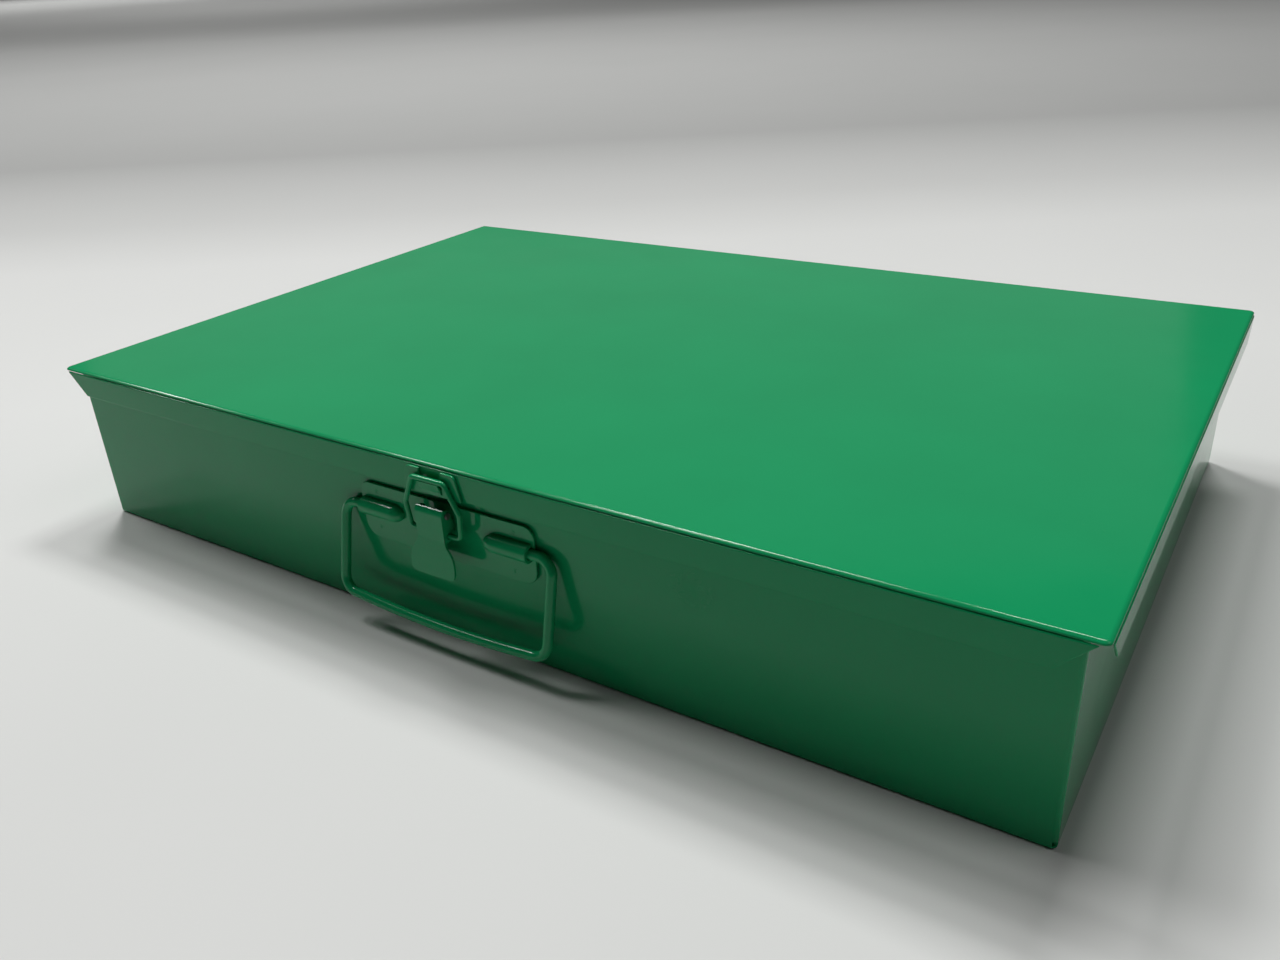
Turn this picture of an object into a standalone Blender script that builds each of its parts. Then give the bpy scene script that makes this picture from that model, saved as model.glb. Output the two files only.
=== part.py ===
"""Folded steel compartment case with a hinged lid, a bail handle and a draw catch.

Units are metres and +Z is up. The origin is the centre of the underside, the long side
runs along X and the front, with the handle and the catch, faces -Y.
"""
import math

import bmesh
import bpy
from mathutils import Matrix

# Case and sheet
CASE_WIDTH = 0.4572
CASE_DEPTH = 0.2990
CASE_HEIGHT = 0.0755
SHEET = 0.0009
CLEARANCE = 0.0003

# Lid
LIP_DEPTH = 0.0120
LIP_OVERHANG_SIDE = 0.0061
LIP_OVERHANG_FRONT = 0.0042
LID_EDGE_RADIUS = 0.0020
LID_CORNER_RADIUS = 0.0035

# Case shell and its trays
SHELL_FOLD_RADIUS = 0.0018
TRAY_COUNT = 4
CELLS_PER_TRAY = 6
TRAY_LID_GAP = 0.0012
TRAY_SCOOP_RADIUS = 0.0220
DIVIDER_DROP = 0.0006

# Piano hinge
HINGE_END_GAP = 0.0045
HINGE_KNUCKLES = 17
HINGE_KNUCKLE_RADIUS = 0.0020
HINGE_PIN_RADIUS = 0.0008
HINGE_LEAF_WIDTH = 0.0140

# Handle plate and bail
PLATE_THICKNESS = 0.0012
PLATE_WIDTH = 0.0840
PLATE_HEIGHT = 0.0233
PLATE_BELOW_LIP = 0.0049
PLATE_TOP_RADIUS = 0.0045
PLATE_BOTTOM_RADIUS = 0.0060
BAIL_WIRE_RADIUS = 0.0020
BAIL_WIDTH = 0.1008
BAIL_DROP = 0.0372
BAIL_BOW = 0.0018
BAIL_CORNER_RADIUS = 0.0062
BAIL_BELOW_PLATE_TOP = 0.0096
BAIL_WALL_GAP = 0.0004
BAIL_LEAN = math.radians(13.0)
BARREL_END_GAP = 0.0015
BARREL_LENGTH = 0.0155
BARREL_DOME = 0.0053
BAIL_TIP_INSET = 0.0012

# Draw catch
CATCH_PIVOT_BELOW_LIP = 0.0063
CATCH_PIVOT_STAND = 0.0062
CATCH_PIN_RADIUS = 0.0008
CATCH_PIN_HEAD = 0.0013
CATCH_PIN_HEAD_FACE = 0.0008
CATCH_PIN_HEAD_LENGTH = 0.0007
EAR_THICKNESS = 0.0012
EAR_RADIUS = 0.0016
EAR_ROOT_LOW = -0.0112
EAR_ROOT_HIGH = -0.0057
EAR_GAP = 0.0006
LEVER_HALF_NECK = 0.0065
LEVER_HALF_SHOULDER = 0.0094
LEVER_HALF_FOOT = 0.0106
LEVER_NECK_END = -0.0097
LEVER_FLARE_END = -0.0147
LEVER_FOOT_TOP = -0.0187
LEVER_BOTTOM = -0.0242
LEVER_FOOT_RADIUS = 0.0036
LEVER_KICK = 0.0016
LEVER_CURL = math.radians(66.0)
CHEEK_WALL = 0.0008
LOOP_WIRE_RADIUS = 0.0010
LOOP_PIVOT_DROP = 0.0082
LOOP_PIVOT_INSET = 0.0002
LOOP_HALF_BAR = 0.0076
LOOP_HALF_WAIST = 0.0130
LOOP_HALF_FOOT = 0.0120
LOOP_WAIST_RISE = 0.0100
LOOP_BEND_RADIUS = 0.0022

# Keeper on the lid's front lip
KEEPER_THICKNESS = 0.0010
KEEPER_HALF_WIDTH = 0.0120
KEEPER_BOTTOM_RISE = 0.0003
KEEPER_TOP_DROP = 0.0018
KEEPER_CORNER_RADIUS = 0.0016
HOOK_HALF_WIDTH = 0.0048
HOOK_SLOT_GAP = 0.0004
HOOK_ROOT_RISE = 0.0013
HOOK_STAND = 0.0018
HOOK_TIP_DROP = 0.0063

# Facets and joins
ARC_STEPS = 6
ROUND_SIDES = 16
PIN_SIDES = 12
BARREL_SIDES = 20
DOME_RINGS = 12
CORNER_STEPS = 4
FOLD_STEPS = 3
WIRE_RESOLUTION = 2
BAR_PIECES = 8
FOLD_ANGLE = math.radians(60.0)
SMOOTH_ANGLE = math.radians(35.0)
OVERLAP = 0.0004
WELD_DISTANCE = 0.000001

# Places worked out from the sizes above
SHELL_WIDTH = CASE_WIDTH - 2 * LIP_OVERHANG_SIDE
SHELL_DEPTH = CASE_DEPTH - 2 * LIP_OVERHANG_FRONT
SHELL_TOP = CASE_HEIGHT - SHEET - CLEARANCE
FRONT_WALL = -SHELL_DEPTH / 2
BACK_WALL = SHELL_DEPTH / 2
LIP_BOTTOM = CASE_HEIGHT - LIP_DEPTH
LIP_FRONT = -CASE_DEPTH / 2

HINGE_Y = BACK_WALL + CLEARANCE + HINGE_KNUCKLE_RADIUS
HINGE_Z = LIP_BOTTOM - CLEARANCE - HINGE_KNUCKLE_RADIUS
HINGE_LENGTH = SHELL_WIDTH - 2 * HINGE_END_GAP
KNUCKLE_PITCH = HINGE_LENGTH / HINGE_KNUCKLES

PLATE_TOP = LIP_BOTTOM - PLATE_BELOW_LIP
PLATE_BOTTOM = PLATE_TOP - PLATE_HEIGHT
PLATE_BACK = FRONT_WALL - CLEARANCE
PLATE_FRONT = PLATE_BACK - PLATE_THICKNESS
BAIL_Y = FRONT_WALL - BAIL_WALL_GAP - BAIL_WIRE_RADIUS
BAIL_Z = PLATE_TOP - BAIL_BELOW_PLATE_TOP
BARREL_BORE = BAIL_WIRE_RADIUS + CLEARANCE
BARREL_RADIUS = BARREL_BORE + PLATE_THICKNESS
BARREL_OUTER_END = PLATE_WIDTH / 2 - BARREL_END_GAP
BARREL_INNER_END = BARREL_OUTER_END - BARREL_LENGTH
BAIL_TIP = BARREL_INNER_END + BAIL_TIP_INSET

CATCH_Y = FRONT_WALL - CATCH_PIVOT_STAND
CATCH_Z = LIP_BOTTOM - CATCH_PIVOT_BELOW_LIP
CURL_INNER = EAR_RADIUS + CLEARANCE
CURL_OUTER = CURL_INNER + SHEET
EAR_OUTER = LEVER_HALF_NECK - SHEET - EAR_GAP
LOOP_Y = CATCH_Y + LOOP_PIVOT_INSET
LOOP_Z = CATCH_Z - LOOP_PIVOT_DROP
KEEPER_BACK = LIP_FRONT - CLEARANCE
KEEPER_FRONT = KEEPER_BACK - KEEPER_THICKNESS
HOOK_TIP = CASE_HEIGHT - HOOK_TIP_DROP
BAR_Y = KEEPER_FRONT - CLEARANCE - LOOP_WIRE_RADIUS
BAR_Z = HOOK_TIP + CLEARANCE + LOOP_WIRE_RADIUS

TRAY_INNER_WIDTH = SHELL_WIDTH - 2 * SHEET
TRAY_PITCH = (SHELL_DEPTH - 2 * SHEET) / TRAY_COUNT
TRAY_LENGTH = TRAY_INNER_WIDTH - 2 * CLEARANCE
TRAY_WIDTH = TRAY_PITCH - 2 * CLEARANCE
TRAY_BOTTOM = SHEET + CLEARANCE
TRAY_TOP = CASE_HEIGHT - SHEET - TRAY_LID_GAP
CELL_PITCH = (TRAY_LENGTH - 2 * SHEET) / CELLS_PER_TRAY

# Turns a flat outline in local XY into a section across X, or into a panel across Y
ACROSS_X = Matrix(((0, 0, 1, 0), (1, 0, 0, 0), (0, 1, 0, 0), (0, 0, 0, 1)))
ACROSS_Y = Matrix(((1, 0, 0, 0), (0, 0, -1, 0), (0, 1, 0, 0), (0, 0, 0, 1)))


def clear_scene():
    """Start from an empty file."""
    for item in list(bpy.data.objects):
        bpy.data.objects.remove(item, do_unlink=True)


def new_collection(name):
    """Add a collection to the scene."""
    collection = bpy.data.collections.new(name)
    bpy.context.scene.collection.children.link(collection)
    return collection


def new_material(name, colour, roughness, metallic):
    """Make a plain Principled material."""
    material = bpy.data.materials.new(name)
    material.use_nodes = True
    shader = material.node_tree.nodes["Principled BSDF"]
    shader.inputs["Base Color"].default_value = (*colour, 1.0)
    shader.inputs["Roughness"].default_value = roughness
    shader.inputs["Metallic"].default_value = metallic
    return material


def add_object(name, data, material=None):
    """Put mesh or curve data in the case, or among the cutters when it has no material."""
    item = bpy.data.objects.new(name, data)
    if material is None:
        CUTTERS.objects.link(item)
        item.hide_render = True
        item.display_type = "WIRE"
    else:
        CASE.objects.link(item)
        data.materials.append(material)
    return item


def finish_bmesh(name, shape, material=None):
    """Turn a bmesh into an object."""
    mesh = bpy.data.meshes.new(name)
    shape.to_mesh(mesh)
    shape.free()
    return add_object(name, mesh, material)


def box(name, low, high, material=None):
    """Add a block between two corners."""
    shape = bmesh.new()
    size = [top - bottom for bottom, top in zip(low, high)]
    centre = [(top + bottom) / 2 for bottom, top in zip(low, high)]
    place = Matrix.Translation(centre) @ Matrix.Diagonal((*size, 1.0))
    bmesh.ops.create_cube(shape, size=1.0, matrix=place)
    return finish_bmesh(name, shape, material)


def rod_into(shape, radius, start, end, y, z, sides=ROUND_SIDES):
    """Add a cylinder along X to a bmesh."""
    place = Matrix.Translation(((start + end) / 2, y, z)) @ Matrix.Rotation(math.pi / 2, 4, "Y")
    bmesh.ops.create_cone(shape, cap_ends=True, segments=sides, radius1=radius,
                          radius2=radius, depth=abs(end - start), matrix=place)


def rounded(corners, closed=True):
    """Return a path through (u, v, radius) corners, each rounded by an arc."""
    path = []
    count = len(corners)
    for index, (u, v, radius) in enumerate(corners):
        if radius == 0.0 or (not closed and index in (0, count - 1)):
            path.append((u, v))
            continue
        before = corners[index - 1]
        after = corners[(index + 1) % count]
        path.extend(fillet(before, (u, v), after, radius))
    return path


def fillet(before, corner, after, radius):
    """Return the points of an arc that rounds one corner."""
    to_before = unit(before[0] - corner[0], before[1] - corner[1])
    to_after = unit(after[0] - corner[0], after[1] - corner[1])
    half = math.acos(to_before[0] * to_after[0] + to_before[1] * to_after[1]) / 2
    middle = unit(to_before[0] + to_after[0], to_before[1] + to_after[1])
    reach = radius / math.sin(half)
    centre = (corner[0] + middle[0] * reach, corner[1] + middle[1] * reach)
    turn = math.pi / 2 - half
    side = 1.0 if to_before[0] * to_after[1] - to_before[1] * to_after[0] < 0 else -1.0
    facing = math.atan2(-middle[1], -middle[0])
    points = []
    for step in range(ARC_STEPS + 1):
        angle = facing + side * turn * (2 * step / ARC_STEPS - 1)
        points.append((centre[0] + radius * math.cos(angle), centre[1] + radius * math.sin(angle)))
    return points


def unit(u, v):
    """Return a direction of length one."""
    length = math.hypot(u, v)
    return u / length, v / length


def circle(radius, u=0.0, v=0.0, sides=ROUND_SIDES):
    """Return a closed ring of points."""
    turns = [2 * math.pi * step / sides for step in range(sides)]
    return [(u + radius * math.cos(turn), v + radius * math.sin(turn)) for turn in turns]


def extruded(name, outlines, turn, middle, thickness, material=None):
    """Extrude closed outlines to a plate; a second outline inside the first is a hole."""
    curve = bpy.data.curves.new(name, "CURVE")
    curve.dimensions = "2D"
    curve.fill_mode = "BOTH"
    curve.extrude = thickness / 2
    for outline in outlines:
        spline = curve.splines.new("POLY")
        spline.points.add(len(outline) - 1)
        for point, (u, v) in zip(spline.points, outline):
            point.co = (u, v, 0.0, 1.0)
        spline.use_cyclic_u = True
    source = bpy.data.objects.new(name, curve)
    CUTTERS.objects.link(source)
    source.matrix_world = Matrix.Translation(middle) @ turn
    return curve_to_mesh(source, material)


def curve_to_mesh(source, material=None):
    """Replace a curve object by its welded mesh."""
    bpy.context.view_layer.update()
    evaluated = source.evaluated_get(bpy.context.evaluated_depsgraph_get())
    mesh = bpy.data.meshes.new_from_object(evaluated)
    name = source.name
    place = source.matrix_world.copy()
    bpy.data.objects.remove(source, do_unlink=True)
    shape = bmesh.new()
    shape.from_mesh(mesh)
    bmesh.ops.remove_doubles(shape, verts=shape.verts, dist=WELD_DISTANCE)
    bmesh.ops.transform(shape, matrix=place, verts=shape.verts)
    bmesh.ops.recalc_face_normals(shape, faces=shape.faces)
    bpy.data.meshes.remove(mesh)
    return finish_bmesh(name, shape, material)


def wire(name, path, radius, material):
    """Add a round wire along a path of (x, height) points in the object's own XZ plane."""
    curve = bpy.data.curves.new(name, "CURVE")
    curve.dimensions = "3D"
    curve.bevel_depth = radius
    curve.bevel_resolution = WIRE_RESOLUTION
    curve.use_fill_caps = True
    spline = curve.splines.new("POLY")
    spline.points.add(len(path) - 1)
    for point, (x, height) in zip(spline.points, path):
        point.co = (x, 0.0, height, 1.0)
    return add_object(name, curve, material)


def combine(target, operation, tool):
    """Add a boolean to a piece."""
    step = target.modifiers.new(tool.name, "BOOLEAN")
    step.operation = operation
    step.solver = "EXACT"
    step.object = tool


def move_origin(item, place):
    """Put a piece's origin at a point without moving its surface."""
    item.data.transform(Matrix.Translation([-value for value in place]))
    item.location = place


def shade_round(item):
    """Shade a mesh smooth apart from its sharp edges."""
    item.data.shade_smooth()
    item.data.set_sharp_from_angle(angle=SMOOTH_ANGLE)


def open_tub(name, size, corner_radius, edge_radius, open_end, material):
    """Make a folded sheet tub, open at its top or bottom, standing on or hung from z = 0."""
    shape = bmesh.new()
    height = size[2] if open_end == "top" else -size[2]
    place = Matrix.Translation((0.0, 0.0, height / 2)) @ Matrix.Diagonal((*size, 1.0))
    bmesh.ops.create_cube(shape, size=1.0, matrix=place)
    shape.faces.ensure_lookup_table()
    lost = [face for face in shape.faces if abs(face.calc_center_median().z - height) < WELD_DISTANCE]
    bmesh.ops.delete(shape, geom=lost, context="FACES_ONLY")
    upright = [edge for edge in shape.edges if abs(edge.verts[0].co.z - edge.verts[1].co.z) > WELD_DISTANCE]
    bmesh.ops.bevel(shape, geom=upright, offset=corner_radius, segments=CORNER_STEPS, profile=0.5,
                    affect="EDGES", clamp_overlap=True)
    item = finish_bmesh(name, shape, material)
    fold = item.modifiers.new("fold", "BEVEL")
    fold.width = edge_radius
    fold.segments = FOLD_STEPS
    fold.limit_method = "ANGLE"
    fold.angle_limit = FOLD_ANGLE
    wall = item.modifiers.new("sheet", "SOLIDIFY")
    wall.thickness = SHEET
    wall.offset = -1.0
    wall.use_even_offset = True
    return item


def make_shell(material):
    """The case's body: floor and four walls folded from sheet."""
    size = (SHELL_WIDTH, SHELL_DEPTH, SHELL_TOP)
    return open_tub("case_shell", size, SHELL_FOLD_RADIUS, SHELL_FOLD_RADIUS, "top", material)


def make_lid(material):
    """The lid, with its four lips cut back at 45 degrees at the corners."""
    size = (CASE_WIDTH, CASE_DEPTH, LIP_DEPTH)
    lid = open_tub("lid", size, LID_CORNER_RADIUS, LID_EDGE_RADIUS, "bottom", material)
    lid.location = (0.0, 0.0, CASE_HEIGHT)
    corners = bmesh.new()
    depth = LIP_DEPTH
    apex = CASE_HEIGHT - LID_EDGE_RADIUS
    for side in (-1, 1):
        for end in (-1, 1):
            place = Matrix.Translation((side * CASE_WIDTH / 2, end * CASE_DEPTH / 2, apex - depth / 2))
            place = place @ Matrix.Rotation(math.pi / 4, 4, "Z")
            bmesh.ops.create_cone(corners, cap_ends=True, segments=4, radius2=0.0,
                                  radius1=depth * math.sqrt(2.0), depth=depth, matrix=place)
    bmesh.ops.remove_doubles(corners, verts=corners.verts, dist=WELD_DISTANCE)
    combine(lid, "DIFFERENCE", finish_bmesh("lid_corner_cuts", corners))
    move_origin_of_lid(lid)
    return lid


def move_origin_of_lid(lid):
    """Put the lid's origin on the hinge's axis."""
    lid.data.transform(Matrix.Translation((0.0, -HINGE_Y, CASE_HEIGHT - HINGE_Z)))
    lid.location = (0.0, HINGE_Y, HINGE_Z)


def scoop_outline(half_width, bottom, top, radius):
    """A trough's section: upright sides and a bottom with large round corners."""
    corners = [(-half_width, top, 0.0), (-half_width, bottom, radius),
               (half_width, bottom, radius), (half_width, top, 0.0)]
    return rounded(corners)


def make_trays(material):
    """Four scoop-bottomed trays with cross dividers, side by side on the floor."""
    inner = TRAY_WIDTH / 2 - SHEET
    fit = inner - CLEARANCE
    floor = TRAY_BOTTOM + SHEET
    for tray in range(TRAY_COUNT):
        y = (tray - (TRAY_COUNT - 1) / 2) * TRAY_PITCH
        outer = scoop_outline(TRAY_WIDTH / 2, TRAY_BOTTOM, TRAY_TOP, TRAY_SCOOP_RADIUS)
        name = f"tray_{tray + 1}"
        item = extruded(name, [outer], ACROSS_X, (0.0, y, 0.0), TRAY_LENGTH, material)
        hollow = scoop_outline(inner, floor, TRAY_TOP + SHEET, TRAY_SCOOP_RADIUS - SHEET)
        length = TRAY_LENGTH - 2 * SHEET
        combine(item, "DIFFERENCE", extruded(f"{name}_hollow", [hollow], ACROSS_X, (0.0, y, 0.0), length))
        shade_round(item)
        outline = scoop_outline(fit, floor + CLEARANCE, TRAY_TOP - DIVIDER_DROP,
                                TRAY_SCOOP_RADIUS - SHEET - CLEARANCE)
        for cell in range(1, CELLS_PER_TRAY):
            x = (cell - CELLS_PER_TRAY / 2) * CELL_PITCH
            extruded(f"{name}_divider_{cell}", [outline], ACROSS_X, (x, y, 0.0), SHEET, material)


def knuckle_outline(low, high, reach, up):
    """A hinge knuckle's section with the strip of its leaf, about the pin's axis."""
    start = math.acos(high / HINGE_KNUCKLE_RADIUS)
    stop = math.acos(max(low / HINGE_KNUCKLE_RADIUS, -1.0)) - 2 * math.pi
    points = [(high, up * reach)]
    for step in range(ROUND_SIDES + 1):
        angle = start + (stop - start) * step / ROUND_SIDES
        points.append((HINGE_KNUCKLE_RADIUS * math.cos(angle),
                       up * HINGE_KNUCKLE_RADIUS * math.sin(angle)))
    points.append((low, up * reach))
    return points


def make_leaf(name, low, up, first, material):
    """One leaf of the piano hinge: a strip with every second knuckle."""
    high = low + SHEET
    root = HINGE_KNUCKLE_RADIUS + CLEARANCE
    near = HINGE_Z + up * root
    far = HINGE_Z + up * HINGE_LEAF_WIDTH
    if up > 0:
        far = CASE_HEIGHT - SHEET - LID_EDGE_RADIUS
    half = HINGE_LENGTH / 2
    leaf = box(name, (-half, HINGE_Y + low, min(near, far)), (half, HINGE_Y + high, max(near, far)), material)
    outline = knuckle_outline(low, high, root + SHEET, up)
    bore = circle(HINGE_PIN_RADIUS + CLEARANCE, sides=PIN_SIDES)
    row = bmesh.new()
    for knuckle in range(first, HINGE_KNUCKLES, 2):
        x = (knuckle - (HINGE_KNUCKLES - 1) / 2) * KNUCKLE_PITCH
        part = extruded("knuckle", [outline, bore], ACROSS_X, (x, HINGE_Y, HINGE_Z),
                        KNUCKLE_PITCH - CLEARANCE)
        row.from_mesh(part.data)
        bpy.data.objects.remove(part, do_unlink=True)
    combine(leaf, "UNION", finish_bmesh(f"{name}_knuckles", row))
    return leaf


def make_hinge(steel, painted):
    """The piano hinge along the back: both leaves and the pin."""
    make_leaf("hinge_lower_leaf", -HINGE_KNUCKLE_RADIUS, -1.0, 0, painted)
    lip_side = CASE_DEPTH / 2 - SHEET - CLEARANCE - HINGE_Y
    upper = make_leaf("hinge_upper_leaf", lip_side - SHEET, 1.0, 1, painted)
    move_origin(upper, (0.0, HINGE_Y, HINGE_Z))
    pin = bmesh.new()
    rod_into(pin, HINGE_PIN_RADIUS, -HINGE_LENGTH / 2, HINGE_LENGTH / 2, HINGE_Y, HINGE_Z, PIN_SIDES)
    shade_round(finish_bmesh("hinge_pin", pin, steel))


def make_plate(material):
    """The plate on the front wall: barrels for the bail and ears for the lever."""
    half = PLATE_WIDTH / 2
    outline = rounded([(-half, PLATE_BOTTOM, PLATE_BOTTOM_RADIUS), (half, PLATE_BOTTOM, PLATE_BOTTOM_RADIUS),
                       (half, PLATE_TOP, PLATE_TOP_RADIUS), (-half, PLATE_TOP, PLATE_TOP_RADIUS)])
    middle = (0.0, (PLATE_BACK + PLATE_FRONT) / 2, 0.0)
    plate = extruded("handle_plate", [outline], ACROSS_Y, middle, PLATE_THICKNESS, material)
    bores = bmesh.new()
    for side, hand in ((-1, "left"), (1, "right")):
        barrel = bmesh.new()
        rod_into(barrel, BARREL_RADIUS, side * BARREL_INNER_END, side * BARREL_OUTER_END,
                 BAIL_Y, BAIL_Z, BARREL_SIDES)
        combine(plate, "UNION", finish_bmesh(f"{hand}_barrel", barrel))
        dome = bmesh.new()
        place = Matrix.Translation((side * BARREL_INNER_END, BAIL_Y, BAIL_Z))
        stretch = Matrix.Diagonal((BARREL_DOME / BARREL_RADIUS, 1.0, 1.0, 1.0))
        place = place @ stretch @ Matrix.Rotation(math.pi / 2, 4, "Y")
        bmesh.ops.create_uvsphere(dome, u_segments=BARREL_SIDES, v_segments=DOME_RINGS,
                                  radius=BARREL_RADIUS, matrix=place)
        combine(plate, "UNION", finish_bmesh(f"{hand}_barrel_dome", dome))
        rod_into(bores, BARREL_BORE, side * (BAIL_TIP - 2 * CLEARANCE), side * (half + SHEET),
                 BAIL_Y, BAIL_Z)
        ear = make_ear(f"{hand}_ear", side * (EAR_OUTER - EAR_THICKNESS / 2))
        combine(plate, "UNION", ear)
    wall_side = box("wall_side", (-half, PLATE_BACK, PLATE_BOTTOM), (half, PLATE_BACK + BARREL_RADIUS, PLATE_TOP))
    combine(plate, "DIFFERENCE", wall_side)
    combine(plate, "DIFFERENCE", finish_bmesh("barrel_bores", bores))
    return plate


def make_ear(name, x):
    """A bracket ear that leans out from the plate and holds the lever's pin."""
    root = PLATE_FRONT + OVERLAP
    reach = EAR_RADIUS
    low = math.atan2(EAR_ROOT_LOW, root - CATCH_Y)
    high = math.atan2(EAR_ROOT_HIGH, root - CATCH_Y)
    start = high + math.acos(reach / math.hypot(EAR_ROOT_HIGH, root - CATCH_Y))
    stop = low - math.acos(reach / math.hypot(EAR_ROOT_LOW, root - CATCH_Y)) + 2 * math.pi
    outline = [(root, CATCH_Z + EAR_ROOT_LOW), (root, CATCH_Z + EAR_ROOT_HIGH)]
    for step in range(2 * ARC_STEPS + 1):
        angle = start + (stop - start) * step / (2 * ARC_STEPS)
        outline.append((CATCH_Y + reach * math.cos(angle), CATCH_Z + reach * math.sin(angle)))
    hole = circle(CATCH_PIN_RADIUS + CLEARANCE, CATCH_Y, CATCH_Z, PIN_SIDES)
    return extruded(name, [outline, hole], ACROSS_X, (x, 0.0, 0.0), EAR_THICKNESS)


def make_bail(material):
    """The carrying handle: one bent wire whose ends turn inside the barrels."""
    half = BAIL_WIDTH / 2
    corner = BAIL_CORNER_RADIUS
    path = rounded([(-BAIL_TIP, 0.0, 0.0), (-half, 0.0, corner), (-half, -BAIL_DROP, corner),
                    (half, -BAIL_DROP, corner), (half, 0.0, corner), (BAIL_TIP, 0.0, 0.0)], closed=False)
    path = split_bar(path, -BAIL_DROP)
    bowed = []
    for x, height in path:
        share = height / -BAIL_DROP
        bowed.append((x, height - BAIL_BOW * share * (1.0 - (x / half) ** 2)))
    bail = wire("bail_handle", bowed, BAIL_WIRE_RADIUS, material)
    bail.location = (0.0, BAIL_Y, BAIL_Z)
    bail.rotation_euler = (-BAIL_LEAN, 0.0, 0.0)
    return bail


def split_bar(path, level):
    """Add points along the straight bar at one level, so that it can bow."""
    split = []
    for start, end in zip(path, path[1:]):
        split.append(start)
        if abs(start[1] - level) < WELD_DISTANCE and abs(end[1] - level) < WELD_DISTANCE:
            for step in range(1, BAR_PIECES):
                split.append((start[0] + (end[0] - start[0]) * step / BAR_PIECES, level))
    split.append(path[-1])
    return split


def lever_section():
    """The lever's section across X: a curled top, a flat face and a foot that kicks out."""
    outer = []
    inner = []
    for step in range(ARC_STEPS + 1):
        angle = math.pi - LEVER_CURL * (1.0 - step / ARC_STEPS)
        outer.append((CURL_OUTER * math.cos(angle), CURL_OUTER * math.sin(angle)))
        inner.append((CURL_INNER * math.cos(angle), CURL_INNER * math.sin(angle)))
    outer += [(-CURL_OUTER, LEVER_NECK_END), (-CURL_OUTER - LEVER_KICK, LEVER_BOTTOM)]
    inner += [(-CURL_INNER, LEVER_NECK_END), (-CURL_INNER - LEVER_KICK, LEVER_BOTTOM)]
    return outer + inner[::-1]


def lever_face():
    """The lever's outline from the front, about its pin: a neck that flares to a wide foot."""
    top = CURL_OUTER + SHEET
    side = [(LEVER_HALF_FOOT, LEVER_BOTTOM, LEVER_FOOT_RADIUS), (LEVER_HALF_FOOT, LEVER_FOOT_TOP, 0.0),
            (LEVER_HALF_SHOULDER, LEVER_FLARE_END, LEVER_FOOT_RADIUS),
            (LEVER_HALF_NECK, LEVER_NECK_END, LEVER_FOOT_RADIUS), (LEVER_HALF_NECK, top, 0.0)]
    mirrored = [(-x, z, radius) for x, z, radius in reversed(side)]
    return rounded(side + mirrored)


def make_lever(material):
    """The catch's lever: a curled and flared face with two side cheeks."""
    place = (0.0, CATCH_Y, CATCH_Z)
    lever = extruded("catch_lever", [lever_section()], ACROSS_X, place, 3 * LEVER_HALF_FOOT, material)
    combine(lever, "INTERSECT", extruded("lever_outline", [lever_face()], ACROSS_Y, place, 3 * LEVER_HALF_FOOT))
    front = CURL_INNER - SHEET / 2
    back = LOOP_PIVOT_INSET + LOOP_WIRE_RADIUS + CLEARANCE + CHEEK_WALL
    toe = LOOP_PIVOT_DROP + LOOP_WIRE_RADIUS + SHEET + CLEARANCE
    section = rounded([(-CURL_INNER - OVERLAP, 0.0, 0.0), (-CURL_INNER - OVERLAP, -toe - SHEET, 0.0),
                       (back, -toe, EAR_RADIUS), (back, CURL_INNER, EAR_RADIUS),
                       (-front, CURL_INNER, EAR_RADIUS)])
    pin_hole = circle(CATCH_PIN_RADIUS + CLEARANCE, sides=PIN_SIDES)
    loop_hole = circle(LOOP_WIRE_RADIUS + CLEARANCE, LOOP_PIVOT_INSET, -LOOP_PIVOT_DROP, PIN_SIDES)
    for side, hand in ((-1, "left"), (1, "right")):
        x = side * (LEVER_HALF_NECK - SHEET / 2)
        middle = (x, CATCH_Y, CATCH_Z)
        cheek = extruded(f"{hand}_cheek", [section, pin_hole, loop_hole], ACROSS_X, middle, SHEET)
        combine(lever, "UNION", cheek)
    move_origin(lever, place)
    return lever


def make_catch_pin(material):
    """The pin through the ears and the lever's cheeks, with a head at each end."""
    reach = LEVER_HALF_NECK + CLEARANCE
    end = reach + CATCH_PIN_HEAD_LENGTH
    profile = [(0.0, end), (CATCH_PIN_HEAD_FACE, end), (CATCH_PIN_HEAD, end - CLEARANCE),
               (CATCH_PIN_HEAD, reach), (CATCH_PIN_RADIUS, reach)]
    profile += [(radius, -height) for radius, height in reversed(profile)]
    shape = bmesh.new()
    points = [shape.verts.new((radius, 0.0, height)) for radius, height in profile]
    for start, stop in zip(points, points[1:]):
        shape.edges.new((start, stop))
    pin = finish_bmesh("catch_pin", shape, material)
    turn = pin.modifiers.new("turn", "SCREW")
    turn.steps = ROUND_SIDES
    turn.render_steps = ROUND_SIDES
    turn.use_merge_vertices = True
    turn.merge_threshold = WELD_DISTANCE
    pin.rotation_euler = (0.0, math.pi / 2, 0.0)
    pin.location = (0.0, CATCH_Y, CATCH_Z)
    return pin


def make_loop(material):
    """The catch's wire loop: its feet turn inwards into the lever's cheeks."""
    rise = math.hypot(BAR_Z - LOOP_Z, BAR_Y - LOOP_Y)
    tip = LEVER_HALF_NECK - SHEET - CLEARANCE
    bend = LOOP_BEND_RADIUS
    right = [(tip, 0.0, 0.0), (LOOP_HALF_FOOT, 0.0, bend), (LOOP_HALF_WAIST, LOOP_WAIST_RISE, bend),
             (LOOP_HALF_BAR, rise, bend)]
    left = [(-x, height, radius) for x, height, radius in reversed(right)]
    loop = wire("catch_loop", rounded(right + left, closed=False), LOOP_WIRE_RADIUS, material)
    loop.location = (0.0, LOOP_Y, LOOP_Z)
    loop.rotation_euler = (math.atan2(LOOP_Y - BAR_Y, BAR_Z - LOOP_Z), 0.0, 0.0)
    return loop


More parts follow.
